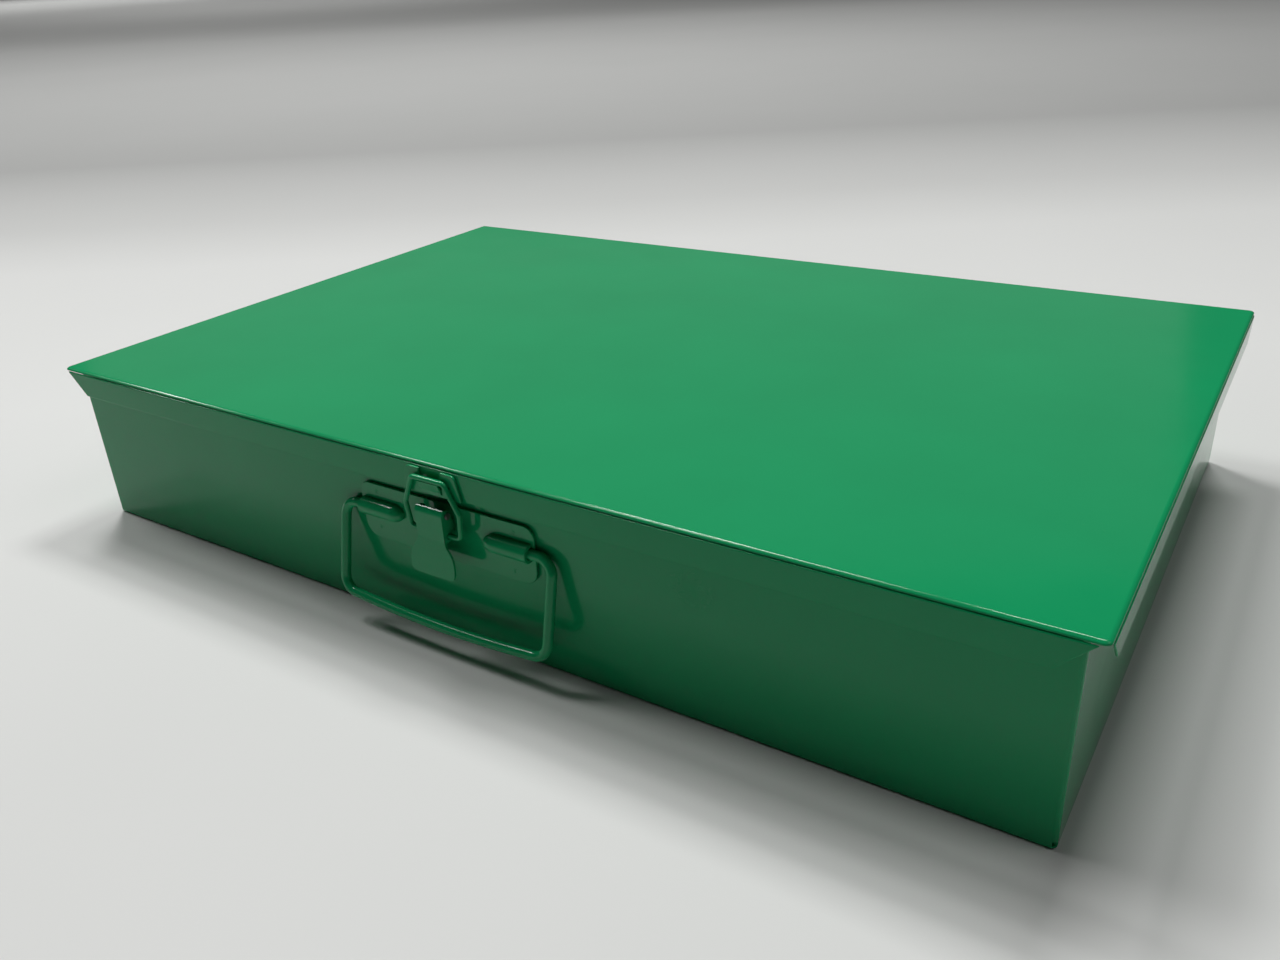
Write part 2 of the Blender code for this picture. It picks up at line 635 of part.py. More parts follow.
def make_keeper(material):
    """The keeper on the lid's front lip: a plate with a hook pressed out of its middle."""
    bottom = LIP_BOTTOM + KEEPER_BOTTOM_RISE
    top = CASE_HEIGHT - KEEPER_TOP_DROP
    slot = HOOK_HALF_WIDTH + HOOK_SLOT_GAP
    root = bottom + HOOK_ROOT_RISE
    corner = KEEPER_CORNER_RADIUS
    outline = rounded([(-KEEPER_HALF_WIDTH, bottom, 0.0), (KEEPER_HALF_WIDTH, bottom, 0.0),
                       (KEEPER_HALF_WIDTH, top, corner), (slot, top, 0.0), (slot, root, 0.0),
                       (-slot, root, 0.0), (-slot, top, 0.0), (-KEEPER_HALF_WIDTH, top, corner)])
    middle = (0.0, (KEEPER_BACK + KEEPER_FRONT) / 2, 0.0)
    keeper = extruded("lid_keeper", [outline], ACROSS_Y, middle, KEEPER_THICKNESS, material)
    lean = KEEPER_FRONT - HOOK_STAND
    section = [(KEEPER_BACK, bottom + OVERLAP / 2), (KEEPER_BACK, root), (lean + KEEPER_THICKNESS, HOOK_TIP),
               (lean, HOOK_TIP), (KEEPER_FRONT - OVERLAP / 2, bottom + OVERLAP / 2)]
    hook = extruded("hook", [section], ACROSS_X, (0.0, 0.0, 0.0), 2 * HOOK_HALF_WIDTH)
    combine(keeper, "UNION", hook)
    move_origin(keeper, (0.0, HINGE_Y, HINGE_Z))
    return keeper


clear_scene()
CASE = new_collection("compartment_case")
CUTTERS = new_collection("cutters")

green_paint = new_material("green_powder_coat", (0.035, 0.25, 0.12), 0.35, 0.0)
bare_steel = new_material("plated_steel", (0.55, 0.55, 0.56), 0.35, 1.0)

make_shell(green_paint)
make_lid(green_paint)
make_trays(green_paint)
make_hinge(bare_steel, green_paint)
make_plate(green_paint)
make_bail(green_paint)
make_lever(green_paint)
make_catch_pin(bare_steel)
make_loop(green_paint)
make_keeper(green_paint)
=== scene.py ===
"""Folded steel compartment case in green enamel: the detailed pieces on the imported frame.

Metres, +Z up, the front of the case with its handle and catch faces -Y.
"""

import math

import bmesh
import bpy
from mathutils import Matrix, Vector


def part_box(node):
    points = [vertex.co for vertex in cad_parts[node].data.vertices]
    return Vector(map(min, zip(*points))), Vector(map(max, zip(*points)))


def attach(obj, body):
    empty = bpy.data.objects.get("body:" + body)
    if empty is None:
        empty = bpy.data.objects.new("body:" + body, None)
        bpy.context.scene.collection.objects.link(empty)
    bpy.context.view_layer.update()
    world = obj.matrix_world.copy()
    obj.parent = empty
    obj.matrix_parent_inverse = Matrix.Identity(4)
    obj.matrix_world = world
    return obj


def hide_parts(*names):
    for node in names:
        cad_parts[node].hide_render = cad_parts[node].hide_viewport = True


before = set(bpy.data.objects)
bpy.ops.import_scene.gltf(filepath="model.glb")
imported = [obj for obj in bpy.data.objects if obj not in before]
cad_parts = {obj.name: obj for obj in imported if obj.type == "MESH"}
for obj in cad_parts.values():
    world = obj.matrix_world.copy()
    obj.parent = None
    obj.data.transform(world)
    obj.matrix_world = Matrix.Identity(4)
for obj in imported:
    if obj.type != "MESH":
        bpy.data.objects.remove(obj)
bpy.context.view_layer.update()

MM = 0.001
X_AXIS = Vector((1, 0, 0))

# Sheet and folds
SHEET = 0.9 * MM
CORNER_ROUND = 2.6 * MM
CORNER_RELIEF = 3.7 * MM
TOP_ROLL = 2.0 * MM
WALL_FOLD = 1.8 * MM

# The front wall's face, what sits on it, and the pivots in front of it
SEAT_GAP = 0.3 * MM
WALL_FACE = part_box("case_shell")[0].y
PLATE_SHEET = 1.2 * MM
PLATE_BACK = WALL_FACE - SEAT_GAP
BAIL_AXIS = Vector((0.0, WALL_FACE - 2.4 * MM, 49.0 * MM))
CATCH_AXIS = Vector((0.0, WALL_FACE - 6.2 * MM, 57.2 * MM))
LOOP_AXIS = Vector((0.0, CATCH_AXIS.y + 0.2 * MM, 49.0 * MM))


# ---------------------------------------------------------------- bench tools

def deselect():
    """Leave nothing selected."""
    bpy.ops.object.select_all(action="DESELECT")


def start(name, add, **where):
    """Add a primitive under its own name."""
    deselect()
    add(**where)
    piece = bpy.context.object
    piece.name = name
    piece.data.name = name
    return piece


def block(name, low, high):
    """A block between two corners, with its place in its mesh."""
    low, high = Vector(low), Vector(high)
    piece = start(name, bpy.ops.mesh.primitive_cube_add, size=1.0, location=(low + high) / 2)
    piece.scale = high - low
    settle(piece)
    return piece


def settle(piece):
    """Apply a piece's place, turn and scale to its mesh."""
    deselect()
    piece.select_set(True)
    bpy.context.view_layer.objects.active = piece
    bpy.ops.object.transform_apply(location=True, rotation=True, scale=True)


def pick(piece, kind, test):
    """In edit mode, select only what passes a test on its middle and its normal."""
    bpy.ops.mesh.select_mode(type=kind)
    bpy.ops.mesh.select_all(action="DESELECT")
    shape = bmesh.from_edit_mesh(piece.data)
    shape.normal_update()
    if kind == "FACE":
        chosen = [face for face in shape.faces if test(face.calc_center_median(), face.normal)]
    elif kind == "EDGE":
        chosen = [edge for edge in shape.edges
                  if test((edge.verts[0].co + edge.verts[1].co) / 2,
                          (edge.verts[1].co - edge.verts[0].co).normalized())]
    else:
        chosen = [vert for vert in shape.verts if test(vert.co, vert.normal)]
    for item in chosen:
        item.select_set(True)
    bmesh.update_edit_mesh(piece.data)


def edit(piece):
    """Go into edit mode on one piece."""
    deselect()
    piece.select_set(True)
    bpy.context.view_layer.objects.active = piece
    bpy.ops.object.mode_set(mode="EDIT")


def done():
    """Leave edit mode."""
    bpy.ops.object.mode_set(mode="OBJECT")


def tidy_normals(piece):
    """Weld doubles and turn the faces outwards."""
    edit(piece)
    bpy.ops.mesh.select_all(action="SELECT")
    bpy.ops.mesh.remove_doubles(threshold=0.00001)
    bpy.ops.mesh.normals_make_consistent(inside=False)
    done()


def apply_modifier(piece, kind, **values):
    """Add a modifier, set it and apply it."""
    deselect()
    piece.select_set(True)
    bpy.context.view_layer.objects.active = piece
    bpy.ops.object.modifier_add(type=kind)
    step = piece.modifiers[-1]
    for key, value in values.items():
        setattr(step, key, value)
    bpy.ops.object.modifier_apply(modifier=step.name)


def cut(piece, *cutters):
    """Take cutters out of a piece."""
    for cutter in cutters:
        apply_modifier(piece, "BOOLEAN", operation="DIFFERENCE", solver="EXACT", object=cutter)
        bpy.data.objects.remove(cutter, do_unlink=True)


def weld(piece, *others):
    """Join other solids to a piece as one solid."""
    for other in others:
        apply_modifier(piece, "BOOLEAN", operation="UNION", solver="EXACT", object=other)
        bpy.data.objects.remove(other, do_unlink=True)


def join(piece, *others):
    """Put other pieces in the same mesh."""
    deselect()
    for other in others:
        other.select_set(True)
    piece.select_set(True)
    bpy.context.view_layer.objects.active = piece
    bpy.ops.object.join()


def copy_of(piece, name, move=(0, 0, 0)):
    """A copy with its own mesh, moved in its mesh."""
    twin = piece.copy()
    twin.data = piece.data.copy()
    twin.name = name
    twin.data.name = name
    bpy.context.scene.collection.objects.link(twin)
    twin.data.transform(Matrix.Translation(move))
    return twin


def soften(piece, edge=0.2 * MM, steps=2, angle=40.0):
    """Take the sharpness off cut edges and shade the piece."""
    if edge:
        apply_modifier(piece, "BEVEL", width=edge, segments=steps, limit_method="ANGLE",
                       angle_limit=math.radians(angle), use_clamp_overlap=True)
    deselect()
    piece.select_set(True)
    bpy.context.view_layer.objects.active = piece
    bpy.ops.object.shade_smooth_by_angle(angle=math.radians(38.0))
    apply_modifier(piece, "WEIGHTED_NORMAL", weight=90, keep_sharp=True)


def draw_out(piece, at, heading, moves, turn_axis=None):
    """Draw the selected edge or ring out: straight runs and bends, in order."""
    at, heading = Vector(at), Vector(heading).normalized()
    for move in moves:
        if move[0] == "run":
            bpy.ops.mesh.extrude_region_move(TRANSFORM_OT_translate={"value": heading * move[1]})
            at = at + heading * move[1]
            continue
        turn, radius, steps = math.radians(move[1]), move[2], move[3]
        axis = Vector(move[4]) if len(move) > 4 else Vector(turn_axis)
        side = axis.cross(heading).normalized() * math.copysign(1.0, turn)
        centre = at + side * radius
        bpy.ops.mesh.spin(steps=steps, dupli=False, angle=-turn, center=centre, axis=axis)
        swing = Matrix.Rotation(turn, 3, axis)
        goal = centre + swing @ (at - centre)
        landed = selected_middle(piece)
        if (landed - goal).length > radius * 0.2 + 1e-6:
            raise RuntimeError(f"{piece.name}: a bend went the wrong way")
        at = goal
        heading = swing @ heading


def selected_middle(piece):
    """The middle of the selected vertices."""
    shape = bmesh.from_edit_mesh(piece.data)
    spots = [vert.co for vert in shape.verts if vert.select]
    return sum(spots, Vector()) / len(spots)


def bend_wire(name, at, heading, radius, moves, sides=20):
    """Round wire: a ring drawn out through straight runs and bends."""
    heading = Vector(heading).normalized()
    turn = heading.to_track_quat("Z", "Y").to_euler()
    wire = start(name, bpy.ops.mesh.primitive_circle_add, vertices=sides, radius=radius,
                 fill_type="NGON", location=at, rotation=turn)
    settle(wire)
    edit(wire)
    bpy.ops.mesh.select_mode(type="FACE")
    bpy.ops.mesh.select_all(action="SELECT")
    draw_out(wire, at, heading, moves)
    bpy.ops.mesh.select_all(action="SELECT")
    bpy.ops.mesh.normals_make_consistent(inside=False)
    done()
    return wire


def fold_strip(name, at, width, heading, moves, axis=(1, 0, 0)):
    """Sheet drawn out from a straight edge that lies along one axis."""
    axis = Vector(axis)
    at = Vector(at)
    strip = start(name, bpy.ops.mesh.primitive_plane_add, size=1.0, location=at)
    edit(strip)
    bpy.ops.mesh.select_mode(type="VERT")
    bpy.ops.mesh.delete(type="ONLY_FACE")
    shape = bmesh.from_edit_mesh(strip.data)
    keep = sorted(shape.verts, key=lambda vert: vert.co.y)[:2]
    spare = [vert for vert in shape.verts if vert not in keep]
    bmesh.ops.delete(shape, geom=spare, context="VERTS")
    ends = list(shape.verts)
    inverse = strip.matrix_world.inverted()
    ends[0].co = inverse @ (at - axis * width / 2)
    ends[1].co = inverse @ (at + axis * width / 2)
    bmesh.update_edit_mesh(strip.data)
    done()
    settle(strip)
    edit(strip)
    bpy.ops.mesh.select_mode(type="EDGE")
    bpy.ops.mesh.select_all(action="SELECT")
    draw_out(strip, at, heading, moves, turn_axis=axis)
    done()
    return strip


def finish_piece(piece, body, slot, material, *nodes):
    """Give a finished piece its body and its finish, and hide the nodes it stands for; the slot is
    not used.
    """
    piece.data.materials.clear()
    piece.data.materials.append(material)
    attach(piece, body)
    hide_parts(*nodes)


# ---------------------------------------------------------------- finishes

def node(material, kind, **inputs):
    """Add a shader node and set its inputs by name."""
    item = material.node_tree.nodes.new(kind)
    for key, value in inputs.items():
        item.inputs[key.replace("_", " ")].default_value = value
    return item


def texture(material, place, kind, **inputs):
    """A texture node that reads the object's own coordinates."""
    item = node(material, kind, **inputs)
    material.node_tree.links.new(place.outputs["Object"], item.inputs["Vector"])
    return item


def remap(material, value, before, after):
    """Map a value from one range to another."""
    item = material.node_tree.nodes.new("ShaderNodeMapRange")
    item.inputs["From Min"].default_value, item.inputs["From Max"].default_value = before
    item.inputs["To Min"].default_value, item.inputs["To Max"].default_value = after
    material.node_tree.links.new(value, item.inputs["Value"])
    return item.outputs["Result"]


def enamel(name, colour=(0.006, 0.285, 0.102), gloss=0.13, peel=0.35, shine=0.25, smudge=None):
    """Glossy baked enamel: faint orange peel, cloudy gloss, specks of dust and settled grime."""
    material = bpy.data.materials.new(name)
    material.use_nodes = True
    nodes, links = material.node_tree.nodes, material.node_tree.links
    shader = nodes["Principled BSDF"]
    shader.inputs["Metallic"].default_value = 0.0
    shader.inputs["IOR"].default_value = 1.5
    shader.inputs["Specular IOR Level"].default_value = shine
    place = nodes.new("ShaderNodeTexCoord")

    cloud = texture(material, place, "ShaderNodeTexNoise", Scale=14.0, Detail=4.0, Roughness=0.55)
    shade = remap(material, cloud.outputs["Fac"], (0.3, 0.7), (0.955, 1.03))
    tint = nodes.new("ShaderNodeHueSaturation")
    tint.inputs["Color"].default_value = (*colour, 1.0)
    links.new(shade, tint.inputs["Value"])

    speck = texture(material, place, "ShaderNodeTexVoronoi", Scale=520.0)
    dust = remap(material, speck.outputs["Distance"], (0.035, 0.06), (0.22, 0.0))
    patches = texture(material, place, "ShaderNodeTexNoise", Scale=60.0, Detail=2.0)
    rare = remap(material, patches.outputs["Fac"], (0.60, 0.68), (0.0, 1.0))
    dusty = nodes.new("ShaderNodeMath")
    dusty.operation = "MULTIPLY"
    links.new(dust, dusty.inputs[0])
    links.new(rare, dusty.inputs[1])
    grime = nodes.new("ShaderNodeMix")
    grime.data_type = "RGBA"
    grime.inputs["B"].default_value = (0.45, 0.52, 0.46, 1.0)
    links.new(dusty.outputs["Value"], grime.inputs["Factor"])
    links.new(tint.outputs["Color"], grime.inputs["A"])
    links.new(grime.outputs["Result"], shader.inputs["Base Color"])

    streak = texture(material, place, "ShaderNodeTexNoise", Scale=38.0, Detail=5.0, Roughness=0.6)
    level = remap(material, streak.outputs["Fac"], (0.3, 0.75), (gloss * 0.8, gloss * 1.25))
    if smudge is not None:
        level = add_smudge(material, place, level, smudge)
    links.new(level, shader.inputs["Roughness"])

    ripple = texture(material, place, "ShaderNodeTexNoise", Scale=420.0, Detail=2.0, Roughness=0.5)
    fine = node(material, "ShaderNodeBump", Strength=peel, Distance=0.00003)
    links.new(ripple.outputs["Fac"], fine.inputs["Height"])
    wave = texture(material, place, "ShaderNodeTexNoise", Scale=9.0, Detail=1.0)
    broad = node(material, "ShaderNodeBump", Strength=0.5, Distance=0.0006)
    links.new(wave.outputs["Fac"], broad.inputs["Height"])
    links.new(fine.outputs["Normal"], broad.inputs["Normal"])
    links.new(broad.outputs["Normal"], shader.inputs["Normal"])
    return material


def add_smudge(material, place, level, spot):
    """A wiped, greasy patch where the gloss is duller."""
    nodes, links = material.node_tree.nodes, material.node_tree.links
    spread = (0.016, 0.02, 0.011)
    move = nodes.new("ShaderNodeMapping")
    move.inputs["Location"].default_value = [-value / size for value, size in zip(spot, spread)]
    move.inputs["Scale"].default_value = [1 / size for size in spread]
    links.new(place.outputs["Object"], move.inputs["Vector"])
    ball = nodes.new("ShaderNodeTexGradient")
    ball.gradient_type = "SPHERICAL"
    links.new(move.outputs["Vector"], ball.inputs["Vector"])
    wipe = texture(material, place, "ShaderNodeTexNoise", Scale=260.0, Detail=3.0, Distortion=1.5)
    patch = nodes.new("ShaderNodeMath")
    patch.operation = "MULTIPLY"
    links.new(ball.outputs["Fac"], patch.inputs[0])
    links.new(wipe.outputs["Fac"], patch.inputs[1])
    total = nodes.new("ShaderNodeMath")
    total.operation = "MULTIPLY_ADD"
    total.inputs[1].default_value = 0.5
    links.new(patch.outputs["Value"], total.inputs[0])
    links.new(level, total.inputs[2])
    return total.outputs["Value"]


def plated_steel(name):
    """Dull zinc-plated pin stock with drawn lines along its length."""
    material = bpy.data.materials.new(name)
    material.use_nodes = True
    nodes, links = material.node_tree.nodes, material.node_tree.links
    shader = nodes["Principled BSDF"]
    shader.inputs["Metallic"].default_value = 1.0
    place = nodes.new("ShaderNodeTexCoord")
    stretch = nodes.new("ShaderNodeMapping")
    stretch.inputs["Scale"].default_value = (60.0, 2600.0, 2600.0)
    links.new(place.outputs["Object"], stretch.inputs["Vector"])
    lines = node(material, "ShaderNodeTexNoise", Scale=1.0, Detail=3.0)
    links.new(stretch.outputs["Vector"], lines.inputs["Vector"])
    ramp = nodes.new("ShaderNodeValToRGB")
    ramp.color_ramp.elements[0].color = (0.10, 0.11, 0.10, 1.0)
    ramp.color_ramp.elements[1].color = (0.27, 0.28, 0.26, 1.0)
    links.new(lines.outputs["Fac"], ramp.inputs["Fac"])
    links.new(ramp.outputs["Color"], shader.inputs["Base Color"])
    rough = remap(material, lines.outputs["Fac"], (0.0, 1.0), (0.35, 0.55))
    links.new(rough, shader.inputs["Roughness"])
    return material


lid_enamel = enamel("lid_green_enamel")
case_enamel = enamel("case_green_enamel", smudge=(0.104, -0.1453, 0.052))
fittings_enamel = enamel("fittings_green_enamel", gloss=0.09, peel=0.5, shine=0.28)
tray_enamel = enamel("tray_green_enamel", gloss=0.18)
pin_steel = plated_steel("plated_pin_steel")


# ---------------------------------------------------------------- lid

def make_lid():
    """The lid: a flat panel with rolled edges and four lips cut back at 45 degrees."""
    low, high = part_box("lid")
    lid = block("lid_panel", low, high)
    edit(lid)
    pick(lid, "FACE", lambda at, way: way.z < -0.5)
    bpy.ops.mesh.delete(type="FACE")
    pick(lid, "EDGE", lambda at, way: abs(way.z) > 0.9)
    bpy.ops.mesh.bevel(offset=CORNER_ROUND, segments=8, profile=0.5, affect="EDGES")
    pick(lid, "EDGE", lambda at, way: at.z > high.z - 1e-5 and abs(way.z) < 0.1)
    bpy.ops.mesh.bevel(offset=TOP_ROLL, segments=6, profile=0.5, affect="EDGES")
    apex = high.z - TOP_ROLL
    for side in (-1, 1):
        for end in (-1, 1):
            corner = Vector(((high.x - CORNER_RELIEF) * side, (high.y - CORNER_RELIEF) * end, apex))
            pick(lid, "FACE", lambda at, way: abs(way.z) < 0.3 and abs(way.y) > abs(way.x)
                 and at.y * end > 0)
            bpy.ops.mesh.bisect(plane_co=corner, plane_no=Vector((side, 0, -1)).normalized(),
                                use_fill=False, clear_outer=True)
            pick(lid, "FACE", lambda at, way: abs(way.z) < 0.3 and abs(way.x) >= abs(way.y)
                 and at.x * side > 0)
            bpy.ops.mesh.bisect(plane_co=corner, plane_no=Vector((0, end, -1)).normalized(),
                                use_fill=False, clear_outer=True)
    done()
    apply_modifier(lid, "SOLIDIFY", thickness=SHEET, offset=-1.0, use_even_offset=True)
    soften(lid, 0.34 * MM, 3)
    finish_piece(lid, "lid", "lid_paint", lid_enamel, "lid")


# ---------------------------------------------------------------- case body

def make_shell():
    """The case's body: folded floor and walls, with relief notches at the bottom corners."""
    low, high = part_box("case_shell")
    shell = block("case_body", low, high)
    edit(shell)
    pick(shell, "FACE", lambda at, way: way.z > 0.5)
    bpy.ops.mesh.delete(type="FACE")
    pick(shell, "EDGE", lambda at, way: abs(way.z) > 0.9)
    bpy.ops.mesh.bevel(offset=WALL_FOLD, segments=6, profile=0.5, affect="EDGES")
    pick(shell, "EDGE", lambda at, way: at.z < low.z + 1e-5 and abs(way.z) < 0.1)
    bpy.ops.mesh.bevel(offset=WALL_FOLD * 0.7, segments=4, profile=0.5, affect="EDGES")
    done()
    apply_modifier(shell, "SOLIDIFY", thickness=SHEET, offset=-1.0, use_even_offset=True)
    notches = []
    for side in (-1, 1):
        for end in (-1, 1):
            x, y = high.x * side, high.y * end
            notches.append(block("corner_relief", (x - 1.3 * MM, y - 1.3 * MM, low.z + 0.9 * MM),
                                 (x + 1.3 * MM, y + 1.3 * MM, low.z + 2.9 * MM)))
    cut(shell, *notches)
    gap = block("sprung_seam", (high.x - 1.5 * MM, high.y - 3.2 * MM, low.z + 3.2 * MM),
                (high.x + 1.0 * MM, high.y - 1.5 * MM, low.z + 20.5 * MM))
    edit(gap)
    pick(gap, "FACE", lambda at, way: way.z > 0.5)
    bpy.ops.transform.resize(value=(1.0, 0.12, 1.0))
    done()
    cut(shell, gap)
    soften(shell, 0.16 * MM)
    finish_piece(shell, "case", "case_paint", case_enamel, "case_shell")


# ---------------------------------------------------------------- trays and dividers

def make_trays():
    """Four scoop-bottomed trays, side by side, and their cross dividers."""
    for number in range(1, 5):
        name = f"tray_{number}"
        low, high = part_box(name)
        scoop = 22.0 * MM
        half = (high.y - low.y) / 2
        flat = half - scoop
        wall = high.z - low.z - scoop
        tray = fold_strip(f"{name}_trough", (0.0, low.y, high.z), high.x - low.x, (0, 0, -1),
                          [("run", 2.0 * MM), ("run", wall - 2.0 * MM), ("bend", 90.0, scoop, 14),
                           ("run", 2 * flat), ("bend", 90.0, scoop, 14), ("run", wall - 2.0 * MM),
                           ("run", 2.0 * MM)])
        edit(tray)
        for side in (-1, 1):
            pick(tray, "EDGE", lambda at, way: at.x * side > high.x - 1e-5 and abs(way.x) < 0.1)
            bpy.ops.mesh.edge_face_add()
        done()
        tidy_normals(tray)
        apply_modifier(tray, "SOLIDIFY", thickness=SHEET, offset=-1.0, use_even_offset=True)
        soften(tray, 0.2 * MM, 2, 50.0)
        finish_piece(tray, "case", "tray_paint", tray_enamel, name)
        for cell in range(1, 6):
            make_divider(f"{name}_divider_{cell}")


def make_divider(name):
    """A cross divider: a plate with round lower corners that follow the scoops."""
    low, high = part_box(name)
    round_corner = 20.8 * MM
    plate = block(f"{name}_plate", low, high)
    edit(plate)
    pick(plate, "EDGE", lambda at, way: abs(way.x) > 0.9 and at.z < low.z + 1e-5)
    bpy.ops.mesh.bevel(offset=round_corner, segments=14, profile=0.5, affect="EDGES")
    pick(plate, "EDGE", lambda at, way: abs(way.x) > 0.9 and at.z > high.z - 1e-5)
    bpy.ops.mesh.bevel(offset=1.2 * MM, segments=3, profile=0.5, affect="EDGES")
    done()
    soften(plate, 0.15 * MM, 2, 60.0)
    finish_piece(plate, "case", "tray_paint", tray_enamel, name)


# ---------------------------------------------------------------- piano hinge

def make_hinge():
    """The piano hinge: two leaves with their rolled knuckles, and the pin."""
    knuckles = 17
    pin_low, pin_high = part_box("hinge_pin")
    axis = (pin_low + pin_high) / 2
    length = pin_high.x - pin_low.x
    pitch = length / knuckles
    outer = 2.0 * MM
    lower_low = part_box("hinge_lower_leaf")[0]
    upper_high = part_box("hinge_upper_leaf")[1]
    lip_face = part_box("lid")[1].y - SHEET - SEAT_GAP
    for name, body, first, leaf_y, tab, far in (
            ("hinge_lower_leaf", "case", 0, lower_low.y, axis.z, lower_low.z),
            ("hinge_upper_leaf", "lid", 1, lip_face - SHEET, axis.z + 1.3 * MM, upper_high.z)):
        up = math.copysign(1.0, far - axis.z)
        near = axis.z + up * (outer + 0.3 * MM)
        leaf = block(f"{name}_rolled", (-length / 2, leaf_y, min(near, far)),
                     (length / 2, leaf_y + SHEET, max(near, far)))
        soften(leaf, 0.15 * MM)
        knuckle = make_knuckle(axis, pitch - 0.3 * MM, outer)
        reach = near + up * SHEET / 2
        strap = block("knuckle_strap", (-pitch / 2 + 0.15 * MM, leaf_y, min(tab, reach)),
                      (pitch / 2 - 0.15 * MM, leaf_y + SHEET, max(tab, reach)))
        join(knuckle, strap)
        row = [copy_of(knuckle, f"{name}_knuckle_{place}",
                       ((place - (knuckles - 1) / 2) * pitch, 0.0, 0.0))
               for place in range(first, knuckles, 2)]
        bpy.data.objects.remove(knuckle, do_unlink=True)
        join(leaf, *row)
        finish_piece(leaf, body, "fittings_paint", fittings_enamel, name)
    pin = bend_wire("hinge_pin_rod", (pin_low.x, axis.y, axis.z), (1, 0, 0), 0.8 * MM,
                    [("run", length)], sides=16)
    soften(pin, 0.15 * MM, 2, 60.0)
    finish_piece(pin, "case", "plated_steel", pin_steel, "hinge_pin")


def make_knuckle(axis, length, outer):
    """One knuckle: sheet rolled round the pin."""
    roll = start("rolled_knuckle", bpy.ops.mesh.primitive_circle_add, vertices=28, radius=outer,
                 location=(-length / 2, axis.y, axis.z), rotation=(0.0, math.pi / 2, 0.0))
    settle(roll)
    edit(roll)
    bpy.ops.mesh.select_mode(type="EDGE")
    bpy.ops.mesh.select_all(action="SELECT")
    bpy.ops.mesh.extrude_region_move(TRANSFORM_OT_translate={"value": (length, 0.0, 0.0)})
    done()
    tidy_normals(roll)
    apply_modifier(roll, "SOLIDIFY", thickness=SHEET, offset=-1.0)
    soften(roll, 0.12 * MM, 2, 60.0)
    return roll


# ---------------------------------------------------------------- handle plate and bail

def make_plate():
    """The plate behind the handle: rolled barrels with domed ends, pin ears and weld dimples."""
    low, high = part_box("handle_plate")
    half = high.x
    face = PLATE_BACK - PLATE_SHEET
    plate = block("catch_plate", (-half, face, low.z), (half, PLATE_BACK, high.z))
    edit(plate)
    pick(plate, "EDGE", lambda at, way: abs(way.y) > 0.9 and at.z > high.z - 1e-5)
    bpy.ops.mesh.bevel(offset=4.5 * MM, segments=8, profile=0.5, affect="EDGES")
    pick(plate, "EDGE", lambda at, way: abs(way.y) > 0.9 and at.z < low.z + 1e-5)
    bpy.ops.mesh.bevel(offset=6.0 * MM, segments=10, profile=0.5, affect="EDGES")
    done()
    apply_modifier(plate, "BEVEL", width=0.3 * MM, segments=3, limit_method="ANGLE",
                   angle_limit=math.radians(50.0))
    for side in (-1, 1):
        weld(plate, make_barrel(side))
    back = block("wall_side", (-half - MM, PLATE_BACK, low.z - MM),
                 (half + MM, PLATE_BACK + 9 * MM, high.z + MM))
    bores = [start("barrel_bore", bpy.ops.mesh.primitive_cylinder_add, vertices=24, radius=2.3 * MM,
                   depth=16.4 * MM, location=(side * 34.0 * MM, BAIL_AXIS.y, BAIL_AXIS.z),
                   rotation=(0.0, math.pi / 2, 0.0)) for side in (-1, 1)]
    cut(plate, back, *bores)
    dimples = [start("weld_dimple", bpy.ops.mesh.primitive_uv_sphere_add, segments=20,
                     ring_count=12, radius=1.9 * MM, location=(x * MM, face - 1.62 * MM, z * MM))
               for x, z in ((-33.5, 55.6), (-34.0, 40.6), (33.0, 55.2), (32.0, 39.4))]
    cut(plate, *dimples)
    join(plate, *[make_ear(side) for side in (-1, 1)])
    soften(plate, 0.0)
    finish_piece(plate, "case", "fittings_paint", fittings_enamel, "handle_plate")


def make_barrel(side):
    """A tube pressed out of the plate for the bail, closed by a dome at its inner end."""
    outer, inner = side * 40.5 * MM, side * 25.0 * MM
    barrel = start("barrel", bpy.ops.mesh.primitive_cylinder_add, vertices=36, radius=3.5 * MM,
                   depth=abs(outer - inner), rotation=(0.0, math.pi / 2, 0.0),
                   location=((outer + inner) / 2, BAIL_AXIS.y, BAIL_AXIS.z))
    settle(barrel)
    edit(barrel)
    pick(barrel, "FACE", lambda at, way: way.x * side < -0.9)
    for step in range(1, 9):
        angle = math.radians(10.0 * step)
        before = math.radians(10.0 * (step - 1))
        forward = -side * 5.3 * MM * (math.sin(angle) - math.sin(before))
        bpy.ops.mesh.extrude_region_move(TRANSFORM_OT_translate={"value": (forward, 0.0, 0.0)})
        shrink = math.cos(angle) / math.cos(before)
        bpy.ops.transform.resize(value=(1.0, shrink, shrink))
    pick(barrel, "FACE", lambda at, way: way.x * side > 0.9)
    bpy.ops.mesh.inset(thickness=0.25 * MM, depth=0.0)
    bpy.ops.transform.translate(value=(side * 0.2 * MM, 0.0, 0.0))
    done()
    return barrel


def make_ear(side):
    """An ear of the bracket that holds the lever's pin."""
    root = PLATE_BACK - PLATE_SHEET + 0.55 * MM
    ear = start("pin_ear", bpy.ops.mesh.primitive_cylinder_add, vertices=32, radius=1.6 * MM,
                depth=1.2 * MM, rotation=(0.0, math.pi / 2, 0.0),
                location=(side * 4.4 * MM, CATCH_AXIS.y, CATCH_AXIS.z))
    settle(ear)
    edit(ear)
    lean = Vector((0.0, 1.0, -1.35)).normalized()
    pick(ear, "FACE", lambda at, way: abs(way.x) < 0.3 and way.dot(lean) > 0.05)
    reach = (root - CATCH_AXIS.y) / lean.y
    bpy.ops.mesh.extrude_region_move(TRANSFORM_OT_translate={"value": lean * reach})
    bpy.ops.transform.resize(value=(1.0, 0.15, 1.35))
    done()
    apply_modifier(ear, "BEVEL", width=0.2 * MM, segments=2, limit_method="ANGLE",
                   angle_limit=math.radians(50.0))
    return ear


